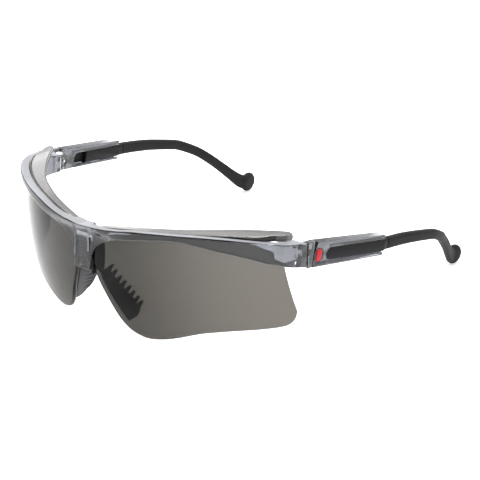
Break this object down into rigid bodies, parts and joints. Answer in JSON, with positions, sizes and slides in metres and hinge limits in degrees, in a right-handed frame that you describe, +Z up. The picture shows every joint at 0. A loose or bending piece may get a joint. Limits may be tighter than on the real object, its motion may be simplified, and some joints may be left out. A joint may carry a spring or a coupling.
{
  "type": "safety glasses",
  "caption": "Wrap-around safety glasses with tinted lenses, a clear brow frame, soft nose pads and temples that fold, tilt and lengthen.",
  "frame": {"origin": "centre of the outline on the table the glasses stand on", "axes": "+X to the wearer's left, +Y from the lenses back along the temples, +Z up from the table"},
  "size_m": [0.1536, 0.177, 0.0514],
  "materials": {
    "frame": "clear smoke-grey polycarbonate, polished",
    "lens": "smoke-tinted polycarbonate, polished",
    "pad": "soft translucent grey elastomer",
    "clip": "dark moulded nylon",
    "arm": "dark grey nylon, satin",
    "grip": "soft dark grey rubber",
    "steel": "plain steel",
    "badge": "plain red inlay"
  },
  "bodies": {
    "frame": {"brow_frame": "frame", "nose_clip": "clip", "left_lens": "lens", "right_lens": "lens", "left_nose_pad": "pad", "right_nose_pad": "pad", "left_fold_screw": "steel", "right_fold_screw": "steel"},
    "left_hinge": {"left_hinge_block": "frame", "left_tilt_pin": "steel"},
    "left_sleeve": {"left_temple_sleeve": "frame", "left_badge": "badge"},
    "left_arm": {"left_temple_slider": "arm", "left_temple_grip": "grip"},
    "right_hinge": {"right_hinge_block": "frame", "right_tilt_pin": "steel"},
    "right_sleeve": {"right_temple_sleeve": "frame", "right_badge": "badge"},
    "right_arm": {"right_temple_slider": "arm", "right_temple_grip": "grip"}
  },
  "joints": [
    {"name": "left_fold", "type": "hinge", "parent": "frame", "child": "left_hinge", "pos_m": [0.0674, -0.03089, 0.04032], "axis": [0, -0.0166, 0.9999], "range_deg": [0, 90]},
    {"name": "left_tilt", "type": "hinge", "parent": "left_hinge", "child": "left_sleeve", "pos_m": [0.07139, -0.02581, 0.03872], "axis": [0.9959, -0.0906, -0.0015], "range_deg": [0, 12]},
    {"name": "left_length", "type": "slide", "parent": "left_sleeve", "child": "left_arm", "axis": [0.0896, 0.9868, -0.1349], "range_m": [0, 0.012]},
    {"name": "right_fold", "type": "hinge", "parent": "frame", "child": "right_hinge", "pos_m": [-0.0674, -0.03089, 0.04032], "axis": [0, 0.0166, -0.9999], "range_deg": [0, 82]},
    {"name": "right_tilt", "type": "hinge", "parent": "right_hinge", "child": "right_sleeve", "pos_m": [-0.07139, -0.02581, 0.03872], "axis": [0.9959, 0.0906, 0.0015], "range_deg": [0, 12]},
    {"name": "right_length", "type": "slide", "parent": "right_sleeve", "child": "right_arm", "axis": [-0.0896, 0.9868, -0.1349], "range_m": [0, 0.012]}
  ]
}
